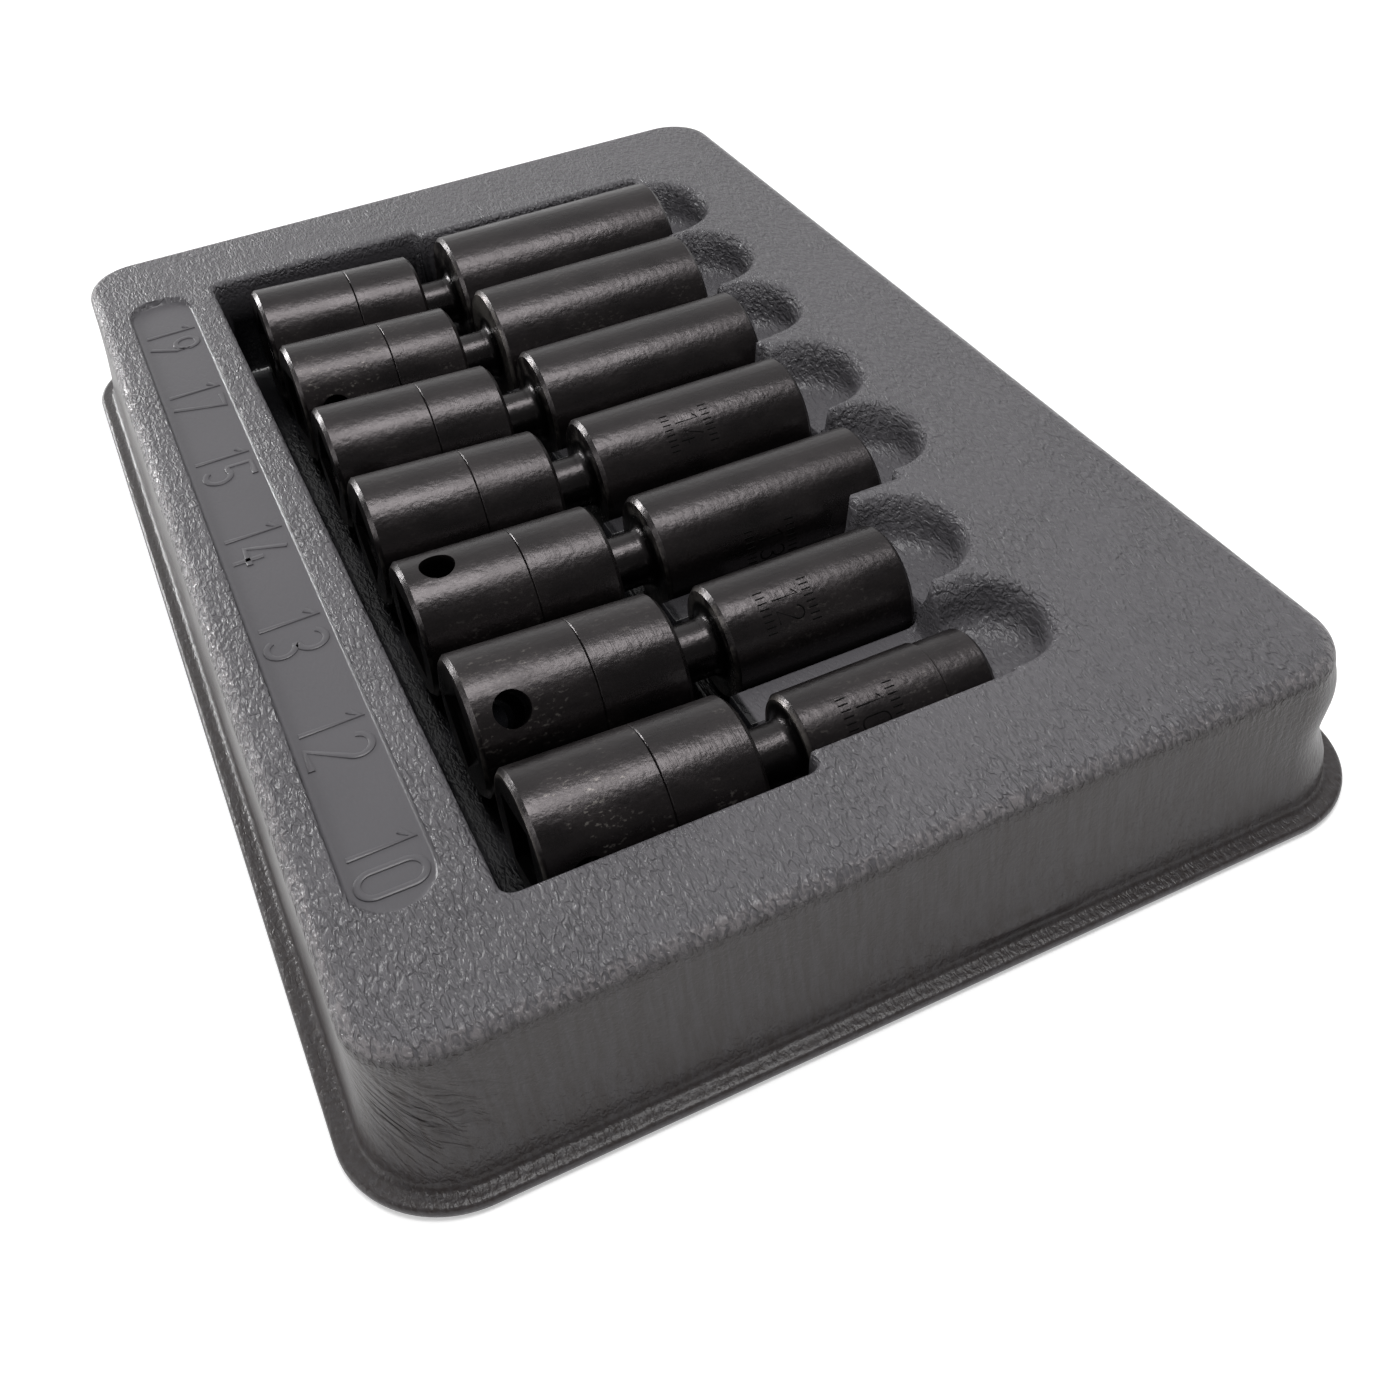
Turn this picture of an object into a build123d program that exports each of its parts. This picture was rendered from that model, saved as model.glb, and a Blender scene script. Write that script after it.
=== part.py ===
from build123d import *
import math
import os

os.makedirs("parts", exist_ok=True)

# Lengths are millimetres. Origin is the middle of the tray's rest face, +X runs from the
# size strip to the finger scoops, +Y from the smallest socket to the largest, +Z is up.
tray_height = 26.0
wall = 1.5
draft = 6.5
foot_x, foot_y, foot_corner = 148.4, 226.4, 13.0
flange_x, flange_y, flange_corner = 154.4, 232.4, 16.4
flange_thick = 1.6
top_round = 4.0

# One entry per socket, smallest first.
sizes = [10, 12, 13, 14, 15, 17, 19]
socket_radius = [8.0, 9.2, 9.8, 10.4, 11.0, 12.0, 12.6]
socket_end_x = [28.0, 28.5, 38.0, 37.5, 40.5, 41.0, 45.0]
drive_tilt = [2.5, 3.0, 2.0, 3.0, 2.5, 2.5, 2.5]
hole_turn = [78.0, 45.0, 2.0, 125.0, 120.0, 76.0, 128.0]
hex_turn = [0.0, 14.0, 25.0, 8.0, 40.0, 17.0, 5.0]
pitch = 25.4
first_y = -80.0
rows = [first_y + pitch * index for index in range(len(sizes))]

# The swivel: the cross pin is the centre that every socket is built about.
pin_x = -14.5
pin_z = 17.0
pin_radius = 1.9
pin_clear = 0.05
pin_short = 0.15
pin_chamfer = 0.3
throat_half = 1.6
ball_flare = 4.2
ball_radius = 7.2
ball_clear = 0.1
drive_radius = 11.0
drive_back = 27.5
drive_front = 4.8
square = 9.6
square_depth = 12.0
square_chamfer = 0.9
hole_radius = 2.8
hole_back = 6.0
sleeve_wall = 1.2
sleeve_back = 9.0
sleeve_fit = 0.02
sleeve_seat = drive_radius - sleeve_wall
sleeve_lip = 0.3
seam_gap = 0.08
seam_break = 0.25
edge_break = 0.7
ball_seat_back = 7.9
mouth_radius = 9.0
neck_radius = 4.6
neck_blend = 1.6
socket_face = 12.5
hex_clear = 0.15
hex_web = 5.0
hex_chamfer = 0.8
step_length = 8.0
step_drop = 0.35

# Pockets of the tray.
seat_gap = 0.15
side_gap = 0.7
pocket_left, pocket_right = -47.8, -4.0
pocket_front, pocket_back = -92.8, 88.8
pocket_floor = 5.5
pocket_corner = 3.0
slot_start = -6.0
slot_tail = 1.2
trough_depth = 11.0
trough_past = 0.5
trough_front, trough_back = -89.2, 86.8
scoop_near = [-89.4, -67.4, -40.2, -18.6, 8.6, 31.6, 56.8]
scoop_far = [-68.8, -44.7, -19.0, 5.0, 30.2, 55.2, 82.0]
scoop_reach = [40.8, 41.2, 50.0, 50.8, 52.5, 54.2, 56.3]
scoop_lip = 1.0
scoop_floor = 17.5
scoop_foot = 3.2
scoop_back = 5.0
bay_left, bay_right = 0.0, 60.0
bay_margin = 3.0
strip_left, strip_right = -65.1, -53.1
strip_half = 88.8
strip_depth = 1.1
numeral_height = 8.8
numeral_stroke = 1.0
numeral_step = 5.6
numeral_lift = 0.35


def hull(skin):
    """The pan's body, its skin taken off all round."""
    with BuildPart() as made:
        with BuildSketch():
            RectangleRounded(foot_x - 2 * skin, foot_y - 2 * skin, foot_corner - skin)
        extrude(amount=tray_height - skin, taper=draft)
        fillet(made.edges().group_by(Axis.Z)[-1], top_round - skin)
        if skin:
            with BuildSketch():
                RectangleRounded(foot_x - 2 * skin, foot_y - 2 * skin, foot_corner - skin)
            extrude(amount=-1.0)
    return made.part


def block(x_low, x_high, y_low, y_high, z_low, z_high, corner):
    with BuildPart() as made:
        with BuildSketch(Plane.XY.offset(z_low)):
            with Locations(((x_low + x_high) / 2, (y_low + y_high) / 2)):
                if corner:
                    RectangleRounded(x_high - x_low, y_high - y_low, corner)
                else:
                    Rectangle(x_high - x_low, y_high - y_low)
        extrude(amount=z_high - z_low)
    return made.part


def bowl(index, grow):
    """A finger scoop, a round-ended hollow that starts under the socket's end."""
    half = (scoop_far[index] - scoop_near[index]) / 2 - scoop_lip
    middle = (scoop_far[index] + scoop_near[index]) / 2
    centre = scoop_reach[index] - scoop_lip - half
    start = socket_end_x[index] - scoop_back
    with BuildPart() as made:
        with BuildSketch(Plane.XY.offset(scoop_floor - grow)):
            with Locations(((centre + start) / 2, middle)):
                SlotCenterToCenter(centre - start, 2 * (half + grow))
        extrude(amount=tray_height + 5.0 - scoop_floor)
        fillet(made.edges().group_by(Axis.Z)[0], scoop_foot + grow)
    return made.part


def pockets(grow):
    """Everything pressed into the top, grown by the skin thickness when asked."""
    above = tray_height + 5.0
    hollows = [
        block(
            pocket_left - grow, pocket_right + grow, pocket_front - grow, pocket_back + grow,
            pocket_floor - grow, above, pocket_corner + grow,
        )
    ]
    for index, row in enumerate(rows):
        half = socket_radius[index] + side_gap + grow
        floor = pin_z - socket_radius[index] - seat_gap - grow
        end = socket_end_x[index] + slot_tail + grow
        hollows.append(block(slot_start, end, row - half, row + half, floor, above, 2.0))
        hollows.append(bowl(index, grow))
        front = max(row - pitch / 2, trough_front)
        back = min(row + pitch / 2, trough_back)
        hollows.append(
            block(
                slot_start, socket_end_x[index] + trough_past + grow, front - grow, back + grow,
                tray_height - trough_depth - grow, above, 0,
            )
        )
    with BuildPart() as strip:
        with BuildSketch(Plane.XY.offset(tray_height - strip_depth - grow)):
            with Locations(((strip_left + strip_right) / 2, 0)):
                width = strip_right - strip_left + 2 * grow
                SlotOverall(2 * (strip_half + grow), width, rotation=90)
        extrude(amount=5.0 + strip_depth + grow)
    hollows.append(strip.part)
    return hollows


def stroke_digit(digit, height):
    """One plain raised numeral, drawn as strokes about its middle."""
    top, side = height / 2, height * 0.24
    with BuildSketch() as drawn:
        with BuildLine() as path:
            if digit == "0":
                CenterArc((0, top - side), side, 0, 180)
                CenterArc((0, side - top), side, 180, 180)
                Line((side, top - side), (side, side - top))
                Line((-side, top - side), (-side, side - top))
            elif digit == "1":
                Polyline((-side * 0.7, top * 0.68), (0.1, top), (0.1, -top))
            elif digit == "2":
                CenterArc((0, top - side), side, -30, 200)
                joint = (side * math.cos(math.radians(30)), top - side * 1.5)
                Polyline(joint, (-side, -top), (side, -top))
            elif digit == "3":
                CenterArc((0, top - side), side, -90, 240)
                CenterArc((0, side - top), side, -150, 240)
            elif digit == "4":
                Polyline((side * 0.1, top), (-side, -top * 0.45), (side * 1.2, -top * 0.45))
                Line((side * 0.5, -top), (side * 0.5, top * 0.1))
            elif digit == "5":
                Polyline((side, top), (-side, top), (-side, 0.0))
                ThreePointArc((-side, 0.0), (side, -top * 0.42), (-side * 0.9, -top * 0.9))
            elif digit == "7":
                Polyline((-side, top), (side, top), (-side * 0.3, -top))
            else:
                Polyline((side, top - side), (side * 0.95, 0.0), (-side * 0.2, -top))
        trace(line_width=numeral_stroke)
        if digit == "9":
            with Locations((0, top - side)):
                Circle(side + numeral_stroke / 2)
                Circle(side - numeral_stroke / 2, mode=Mode.SUBTRACT)
    return drawn.sketch


outer_hull = hull(0.0)
inner_hull = hull(wall)
skins = [hollow & outer_hull for hollow in pockets(wall)]
hollows = pockets(0.0)
numerals = [[stroke_digit(digit, numeral_height) for digit in str(size)] for size in sizes]

with BuildPart() as tray:
    with BuildSketch():
        RectangleRounded(flange_x, flange_y, flange_corner)
    extrude(amount=flange_thick)
    add(outer_hull)
    add(inner_hull, mode=Mode.SUBTRACT)
    add(skins)
    add(hollows, mode=Mode.SUBTRACT)
    for row, digits in zip(rows, numerals):
        for place, digit in enumerate(digits):
            across = row + (0.5 - place) * numeral_step
            with BuildSketch(Plane.XY.offset(tray_height - strip_depth - 0.1)):
                with Locations(Location(((strip_left + strip_right) / 2, across, 0), (0, 0, -90))):
                    add(digit)
            extrude(amount=numeral_lift + 0.1)

# The pan is one formed sheet. Each slot's bay is parted from it on flat planes, face to
# face, so that every slot and scoop keeps its own hollow where something bears on it.
borders = [row - pitch / 2 for row in rows] + [trough_back + bay_margin]
borders[0] = trough_front - bay_margin
bay_boxes = [
    block(bay_left, bay_right, low, high, -1.0, tray_height + 1.0, 0)
    for low, high in zip(borders[:-1], borders[1:])
]
pan = tray.part
for size, box in zip(sizes, bay_boxes):
    bay = tray.part & box
    bay.label = f"tray_bay_{size}"
    export_step(bay, f"parts/tray_bay_{size}.step")
    pan = pan - box
pan.label = "tray"
export_step(pan, "parts/tray.step")
print("solids in the pan:", len(pan.solids()))


def drive_end(index):
    """The square-drive half: a bell at the front, turned down where the sleeve sits."""
    with BuildPart() as made:
        with BuildSketch(Plane.XZ):
            with BuildLine():
                Polyline(
                    (-drive_back, 0), (-drive_back, drive_radius - edge_break),
                    (-drive_back + edge_break, drive_radius), (-sleeve_back, drive_radius),
                    (-sleeve_back, sleeve_seat), (drive_front - sleeve_lip, sleeve_seat),
                    (drive_front - sleeve_lip, mouth_radius), (0, ball_radius + ball_clear),
                    (-ball_seat_back, ball_radius + ball_clear), (-ball_seat_back, 0), close=True,
                )
            make_face()
        revolve(axis=Axis.X)
        with BuildSketch(Plane.YZ.offset(-drive_back)):
            Rectangle(square, square, rotation=hole_turn[index])
        extrude(amount=square_depth, mode=Mode.SUBTRACT)
        mouth = made.faces().sort_by(Axis.X)[0].inner_wires()[0].edges()
        chamfer(mouth, square_chamfer)
        with Locations(Location((hole_back - drive_back, 0, 0), (hole_turn[index], 0, 0))):
            Cylinder(hole_radius, 2 * drive_radius + 2.0, mode=Mode.SUBTRACT)
        with Locations(Location((0, 0, 0), (90, 0, 0))):
            Cylinder(pin_radius, 2 * drive_radius, mode=Mode.SUBTRACT)
    return made.part


def joint_sleeve():
    """The band pressed over the bell, which closes both ends of the cross pin's hole."""
    with BuildPart() as made:
        with BuildSketch(Plane.XZ):
            with BuildLine():
                Polyline(
                    (-sleeve_back + seam_gap, sleeve_seat + sleeve_fit),
                    (-sleeve_back + seam_gap, drive_radius - seam_break),
                    (-sleeve_back + seam_gap + seam_break, drive_radius),
                    (drive_front - edge_break, drive_radius), (drive_front, drive_radius - edge_break),
                    (drive_front, sleeve_seat + sleeve_fit), close=True,
                )
            make_face()
        revolve(axis=Axis.X)
    return made.part


def cross_pin():
    with BuildPart() as made:
        with Locations(Location((0, 0, 0), (90, 0, 0))):
            Cylinder(pin_radius, 2 * (sleeve_seat - pin_short))
        chamfer(made.edges().filter_by(GeomType.CIRCLE), pin_chamfer)
    return made.part


def socket_end(index):
    """The hex half: ball, neck and deep socket in one piece."""
    radius = socket_radius[index]
    end = socket_end_x[index] - pin_x
    neck_start = math.sqrt(ball_radius**2 - neck_radius**2)
    flats = sizes[index] + hex_clear
    step = step_drop if index == 0 else 0.0
    with BuildPart() as made:
        with BuildSketch(Plane.XZ):
            with BuildLine():
                Line((end, 0), (-ball_radius, 0))
                ThreePointArc((-ball_radius, 0), (0, ball_radius), (neck_start, neck_radius))
                Line((neck_start, neck_radius), (socket_face - neck_blend, neck_radius))
                middle = neck_blend * (1 - math.sqrt(0.5))
                ThreePointArc(
                    (socket_face - neck_blend, neck_radius),
                    (socket_face - middle, neck_radius + middle),
                    (socket_face, neck_radius + neck_blend),
                )
                Polyline(
                    (socket_face, neck_radius + neck_blend), (socket_face, radius - edge_break),
                    (socket_face + edge_break, radius), (end - step_length, radius),
                    (end - step_length + 0.3, radius - step), (end - edge_break, radius - step),
                    (end, radius - step - edge_break), (end, 0),
                )
            make_face()
        revolve(axis=Axis.X)
        with BuildSketch(Plane.YZ.offset(end)):
            RegularPolygon(flats / 2, 6, major_radius=False, rotation=hex_turn[index])
        extrude(amount=socket_face + hex_web - end, mode=Mode.SUBTRACT)
        with BuildSketch(Plane.YZ.offset(end)):
            Circle(flats / math.sqrt(3) + 0.1)
        extrude(amount=-hex_chamfer, taper=45, mode=Mode.SUBTRACT)
        with BuildSketch(Plane.XY):
            with BuildLine():
                throat = pin_radius + pin_clear
                Polyline(
                    (0, -ball_radius), (ball_flare, -ball_radius), (throat, -throat_half),
                    (throat, throat_half), (ball_flare, ball_radius), (0, ball_radius), close=True,
                )
            make_face()
        revolve(axis=Axis.Y, mode=Mode.SUBTRACT)
    return made.part


for index, size in enumerate(sizes):
    seat = Location((pin_x, rows[index], pin_z))
    tilted = seat * Location((0, 0, 0), (0, drive_tilt[index], 0))
    placed = {
        f"drive_end_{size}": tilted * drive_end(index),
        f"joint_sleeve_{size}": tilted * joint_sleeve(),
        f"cross_pin_{size}": seat * cross_pin(),
        f"socket_end_{size}": seat * socket_end(index),
    }
    for name, solid in placed.items():
        solid.label = name
        export_step(solid, f"parts/{name}.step")
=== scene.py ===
import bpy
import math
import numpy as np
from mathutils import Matrix, Vector


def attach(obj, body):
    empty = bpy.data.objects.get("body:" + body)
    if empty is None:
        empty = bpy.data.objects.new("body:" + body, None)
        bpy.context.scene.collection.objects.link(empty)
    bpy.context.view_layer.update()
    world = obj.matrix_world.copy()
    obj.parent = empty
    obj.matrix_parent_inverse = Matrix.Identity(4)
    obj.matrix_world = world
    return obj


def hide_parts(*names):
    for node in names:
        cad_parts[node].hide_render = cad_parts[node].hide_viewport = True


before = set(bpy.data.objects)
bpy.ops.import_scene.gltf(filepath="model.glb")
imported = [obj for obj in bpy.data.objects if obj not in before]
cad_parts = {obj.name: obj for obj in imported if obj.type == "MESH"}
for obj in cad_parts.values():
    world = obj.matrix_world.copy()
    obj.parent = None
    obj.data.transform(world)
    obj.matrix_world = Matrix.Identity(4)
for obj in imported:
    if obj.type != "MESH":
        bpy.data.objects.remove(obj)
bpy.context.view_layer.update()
mm = 0.001


class Value:  # a node's socket that takes part in Python sums

    def __init__(self, graph, socket):
        self.graph, self.socket = graph, socket

    def math(self, operation, *others):
        inputs = dict(enumerate((self,) + others))
        return self.graph.node("ShaderNodeMath", {"operation": operation}, inputs)

    def __add__(self, other):
        return self.math("ADD", other)

    def __radd__(self, other):
        return self.math("ADD", other)

    def __sub__(self, other):
        return self.math("SUBTRACT", other)

    def __rsub__(self, other):
        return self.graph.node("ShaderNodeMath", {"operation": "SUBTRACT"}, {0: other, 1: self})

    def __mul__(self, other):
        return self.math("MULTIPLY", other)

    def __rmul__(self, other):
        return self.math("MULTIPLY", other)

    def __truediv__(self, other):
        return self.math("DIVIDE", other)

    def __pow__(self, other):
        return self.math("POWER", other)

    def absolute(self):
        return self.math("ABSOLUTE")

    def least(self, other):
        return self.math("MINIMUM", other)

    def most(self, other):
        return self.math("MAXIMUM", other)

    def ramp(self, low, high, smooth=True):  # 0 at low, 1 at high
        settings = {"interpolation_type": "SMOOTHSTEP" if smooth else "LINEAR", "clamp": True}
        inputs = {"Value": self, "From Min": low, "From Max": high, "To Min": 0.0, "To Max": 1.0}
        return self.graph.node("ShaderNodeMapRange", settings, inputs, "Result")


class Graph:  # a node tree of any kind

    def __init__(self, tree, owner=None):
        self.tree, self.owner = tree, owner
        self.tree.nodes.clear()

    def put(self, socket, value):
        if isinstance(value, Value):
            self.tree.links.new(value.socket, socket)
        else:
            socket.default_value = value

    def node(self, kind, settings=None, inputs=None, output=0):  # without an output, the node itself
        made = self.tree.nodes.new(kind)
        for key, value in (settings or {}).items():
            setattr(made, key, value)
        for key, value in (inputs or {}).items():
            self.put(made.inputs[key], value)
        return made if output is None else Value(self, made.outputs[output])

    def place(self):
        return self.node("ShaderNodeTexCoord", output="Object")

    def axes(self, vector):
        split = self.node("ShaderNodeSeparateXYZ", None, {0: vector}, None)
        return [Value(self, socket) for socket in split.outputs]

    def joined(self, x, y, z):
        return self.node("ShaderNodeCombineXYZ", None, {0: x, 1: y, 2: z})

    def stretched(self, vector, scale):
        return self.node("ShaderNodeVectorMath", {"operation": "MULTIPLY"}, {0: vector, 1: scale})

    def noise(self, vector, scale, detail=3.0, rough=0.55, warp=0.0):
        inputs = {"Vector": vector, "Scale": scale, "Detail": detail, "Roughness": rough, "Distortion": warp}
        return self.node("ShaderNodeTexNoise", None, inputs, "Fac")

    def attribute(self, name):
        return self.node("ShaderNodeAttribute", {"attribute_name": name}, None, "Fac")

    def blend(self, amount, low, high):
        return self.node("ShaderNodeMix", {"data_type": "RGBA"}, {0: amount, 6: low, 7: high}, 2)

    def bump(self, height, distance, under=None):
        inputs = {"Height": height, "Distance": distance, "Strength": 1.0}
        if under is not None:
            inputs["Normal"] = under
        return self.node("ShaderNodeBump", None, inputs)

    def finish(self, **inputs):
        named = {key.replace("_", " "): value for key, value in inputs.items()}
        shader = self.node("ShaderNodeBsdfPrincipled", None, named)
        self.node("ShaderNodeOutputMaterial", None, {"Surface": shader}, None)
        return self.owner


def newSurface(name):
    material = bpy.data.materials.new(name)
    material.use_nodes = True
    return Graph(material.node_tree, material)


def colour(red, green, blue):
    return (red, green, blue, 1.0)


plasticLook = {
    "dark": colour(0.080, 0.077, 0.084), "light": colour(0.116, 0.111, 0.120),
    # the edge colour is a painted highlight along the top edge of the rim
    # the wall colour is the walls' darker tone, painted shade
    "edge": colour(0.20, 0.185, 0.19), "wall": colour(0.036, 0.029, 0.028),
    # the next colour is dirt with painted shade, for the deep hollows
    "dirtShadeTone": colour(0.005, 0.005, 0.006),
    "creaseScale": 1500.0, "creaseStretch": (1.0, 0.40, 0.8), "creaseDepth": 0.00036, "fineRatio": 2.3,
    "patchScale": 70.0, "cloudScale": 30.0, "streakScale": 1100.0, "streakStretch": (1.0, 1.0, 0.06),
    "streakDepth": 0.00010, "foldAlong": 160.0, "foldAcross": 820.0, "foldSlope": 0.7, "foldDepth": 0.00045,
    "rough": 0.36, "gloss": 0.40,
}


def trayPlastic():
    look = plasticLook
    g = newSurface("tray plastic")
    here = g.place()
    grainAmount = g.attribute("grain")
    wallAmount = g.attribute("wall")
    bent = g.stretched(here, look["creaseStretch"])
    wavy = g.noise(bent, look["creaseScale"], 1.0, 0.5, 0.7)
    fine = g.noise(bent, look["creaseScale"] * look["fineRatio"], 2.0, 0.55, 0.4)
    patches = g.noise(here, look["patchScale"], 2.0, 0.5)
    cloud = g.noise(here, look["cloudScale"], 2.0, 0.5)
    streaks = g.noise(g.stretched(here, look["streakStretch"]), look["streakScale"], 3.0, 0.6, 0.2)
    creases = wavy.ramp(0.30, 0.68)
    # leather grain on the deck, drawn streaks on the walls, gathered folds at the front left corner
    skin = creases * (patches.ramp(0.3, 0.65) * 0.55 + 0.5) + fine * 0.35
    leather = g.bump(skin * grainAmount, look["creaseDepth"])
    drawn = g.bump(streaks * wallAmount, look["streakDepth"], leather)
    x, y, z = g.axes(here)
    along = x - y
    across = (z + along * look["foldSlope"]) * look["foldAcross"]
    folds = g.noise(g.joined(along * look["foldAlong"], across, 0.0), 1.0, 1.5, 0.5, 0.5).ramp(0.35, 0.62)
    surface = g.bump(folds * g.attribute("pucker"), look["foldDepth"], drawn)
    # the grain's valleys are painted darker than its plateaus as painted shade; the fine and cloud noise add
    # random tone
    shade = (creases * grainAmount * 0.22 + fine * 0.2 + cloud * 0.6).ramp(0.1, 0.9, False)
    top = g.blend(shade, look["dark"], look["light"])
    # a painted highlight along the top edge, broken up by the streaks and the grain
    frayedHighlight = g.attribute("edge") * (streaks * 0.5 + wavy * 0.7 + 0.05).ramp(0.50, 0.80)
    # the walls' darker, browner tone is painted shade; the streaks in it are drawn texture
    wallShadedTone = g.blend(streaks.ramp(0.3, 0.75) * 0.45, look["wall"], look["dark"])
    # dirt and painted shade darken the deep hollows, the pockets and the ridges between the slots
    dirtShadeAmount = g.attribute("dirtAndShade") * (patches * 0.5 + 0.75).least(1.0)
    clean = g.blend(frayedHighlight * 0.8, g.blend(wallAmount, top, wallShadedTone), look["edge"])
    tint = g.blend(dirtShadeAmount, clean, look["dirtShadeTone"])
    uneven = (cloud - 0.5) * 0.12 + (fine - 0.5) * grainAmount * 0.15
    rough = look["rough"] + uneven - dirtShadeAmount * 0.12 - frayedHighlight * 0.08
    return g.finish(Base_Color=tint, Roughness=rough, Normal=surface, Specular_IOR_Level=look["gloss"])


tray = {  # millimetres, as in every dictionary of the tray and the sockets
    "height": 26.0, "skin": 1.5, "draft": 6.5, "footX": 74.2, "footY": 113.2, "footCorner": 13.0,
    "topRound": 2.8, "cornerSteps": 15, "flatSteps": 5, "nearest": 0.11,
    "left": -66.9, "right": 58.8, "front": -95.2, "back": 91.6,
    "foot": [  # inset and height of the flange, from the wall's foot round its edge to the underside
        (0.20, 2.45), (0.0, 2.05), (-0.35, 1.76), (-0.85, 1.62), (-1.6, 1.58),
        (-2.3, 1.58), (-2.75, 1.42), (-2.98, 1.05), (-3.0, 0.6), (-2.85, 0.2),
        (-2.5, 0.0), (-1.0, 0.0), (0.6, 0.0), (1.2, 0.15), (1.5, 0.6),
    ],
    "step": 1.5, "offsets": [-1.1, -0.6, -0.25, -0.06, 0.08, 0.4, 0.8, 1.3, 2.2, 3.2],
    "underStep": 2.2, "underOffsets": [-0.9, -0.3, 0.1, 0.7, 1.6],
}
sockets = {
    "size": [10, 12, 13, 14, 15, 17, 19],
    "radius": [8.0, 9.2, 9.8, 10.4, 11.0, 12.0, 12.6],
    "end": [28.0, 28.5, 38.0, 37.5, 40.5, 41.0, 45.0],
    "first": -80.0, "pitch": 25.4, "axis": 17.0, "pin": -14.5,
    "mouth": -2.0, "driveFace": -41.95, "driveTilt": 2.5,
}
sockets["row"] = [sockets["first"] + sockets["pitch"] * index for index in range(len(sockets["size"]))]
pocket = {
    "left": -47.8, "right": -3.4, "front": -92.8, "back": 88.8, "floor": 5.5, "corner": 2.2,
    "lip": 1.1, "toe": 1.5, "slope": 0.05,
}
slot = {"gap": 0.7, "tail": 1.2, "under": 0.15, "corner": 1.6, "lip": 1.2, "toe": 2.5, "slope": 0.02}
trough = {
    "start": -6.0, "depth": 11.0, "past": 0.5, "front": -89.2, "back": 86.8, "ridge": 4.0,
    "lip": 1.3, "toe": 1.6, "slope": 0.10,
}
scoops = {
    "near": [-89.4, -67.4, -40.2, -18.6, 8.6, 31.6, 56.8],
    "far": [-68.8, -44.7, -19.0, 5.0, 30.2, 55.2, 82.0],
    "reach": [40.8, 41.2, 50.0, 50.8, 52.5, 54.2, 56.3],
    "floor": 17.5, "overlap": 5.0, "inset": 1.0, "dish": 1.4, "fall": 0.10, "least": 4.5, "crest": 0.8,
    "lip": 1.7, "toe": 3.2, "slope": 0.22,
}
strip = {
    "left": -65.1, "right": -53.1, "half": 88.8, "depth": 1.1, "corner": 5.99,
    "lip": 0.45, "toe": 0.35, "slope": 0.1,
}


def boxField(x, y, low, high, front, back, corner=0.0):  # signed distance, negative inside
    dx = np.abs(x - (low + high) / 2) - (high - low) / 2 + corner
    dy = np.abs(y - (front + back) / 2) - (back - front) / 2 + corner
    return np.hypot(np.maximum(dx, 0), np.maximum(dy, 0)) + np.minimum(np.maximum(dx, dy), 0) - corner


def stripField(x, y):
    return boxField(x, y, strip["left"], strip["right"], -strip["half"], strip["half"], strip["corner"])


def pressed(distance, top, floor, form):  # height of a pressed hollow: rounded lip, leaning wall, rounded toe
    lip, toe = form["lip"], form["toe"]
    run = np.maximum(top - lip - floor - toe, 0.01) * form["slope"]
    beyond = -run - distance
    lipArc = top - lip + np.sqrt(np.maximum(lip**2 - (lip - distance) ** 2, 0))
    toeArc = floor + toe - np.sqrt(np.maximum(toe**2 - (toe - beyond) ** 2, 0))
    z = np.full(np.broadcast(distance, floor).shape, float(top))
    z = np.where((distance >= 0) & (distance < lip), lipArc, z)
    z = np.where((distance < 0) & (distance >= -run), top - lip + distance / form["slope"], z)
    z = np.where((beyond > 0) & (beyond <= toe), toeArc, z)
    return np.where(beyond > toe, floor, z)


def deckHeight(x, y, grow=0.0):  # the sheet's upper face, or with grow the face that far under it
    top = tray["height"] - grow
    troughFloor = top - trough["depth"]
    around = boxField(x, y, *(pocket[side] for side in ("left", "right", "front", "back", "corner")))
    z = pressed(around - grow, top, pocket["floor"] - grow, pocket)
    border = sockets["pitch"] / 2
    for index, (row, radius, end) in enumerate(zip(sockets["row"], sockets["radius"], sockets["end"])):
        half = radius + slot["gap"]
        bed = boxField(x, y, trough["start"], end + slot["tail"], row - half, row + half, slot["corner"])
        z = np.minimum(z, pressed(bed - grow, top, sockets["axis"] - radius - slot["under"] - grow, slot))
        front, back = max(row - border, trough["front"]), min(row + border, trough["back"])
        shared = boxField(x, y, trough["start"], end + trough["past"], front, back) - grow
        z = np.minimum(z, pressed(shared, top, troughFloor, trough))
        near, far, reach = (scoops[key][index] for key in ("near", "far", "reach"))
        size, side = (far - near) / 2, (far + near) / 2
        lengthwise = np.maximum(x - reach + size, 0) + np.minimum(x - end + scoops["overlap"], 0)
        away = np.hypot(lengthwise, y - side) - size + scoops["inset"] - grow
        dish = scoops["floor"] - grow + scoops["dish"] * ((y - side) / size) ** 2 + scoops["fall"] * (x - end)
        z = np.minimum(z, pressed(away, top, np.minimum(dish, top - scoops["least"]), scoops))
    # the low ridges between neighbouring slots
    for row, end, nextEnd in zip(sockets["row"], sockets["end"], sockets["end"][1:]):
        front, back = row + border - trough["ridge"], row + border + trough["ridge"]
        ridge = boxField(x, y, trough["start"], min(end, nextEnd) + trough["past"], front, back) - grow
        z = np.minimum(z, pressed(ridge, top, troughFloor, trough))
    return np.minimum(z, pressed(stripField(x, y) - grow, top, top - strip["depth"], strip))


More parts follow.
